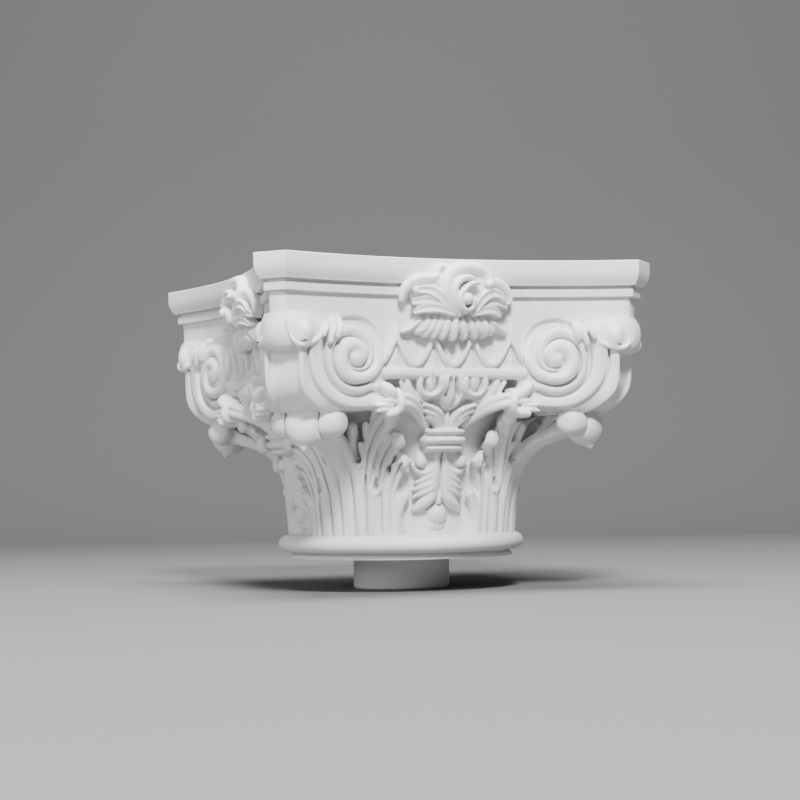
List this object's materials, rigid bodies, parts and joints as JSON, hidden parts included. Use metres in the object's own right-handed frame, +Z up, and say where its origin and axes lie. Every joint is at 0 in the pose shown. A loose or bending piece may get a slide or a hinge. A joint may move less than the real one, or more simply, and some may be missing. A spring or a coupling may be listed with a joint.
{
  "type": "corinthian capital",
  "caption": "Cast column capital with acanthus leaves, diagonal corner volutes, a hollow-sided abacus with flower bosses and a short round spigot below.",
  "frame": {"origin": "centre of the spigot's underside", "axes": "+Z up along the column's axis, -Y out of one of the four like faces, +X to that face's right"},
  "size_m": [0.368, 0.368, 0.2917],
  "materials": {
    "white_polyurethane": "white primed, eggshell"
  },
  "bodies": {
    "root": {"capital": "white_polyurethane"}
  },
  "joints": []
}
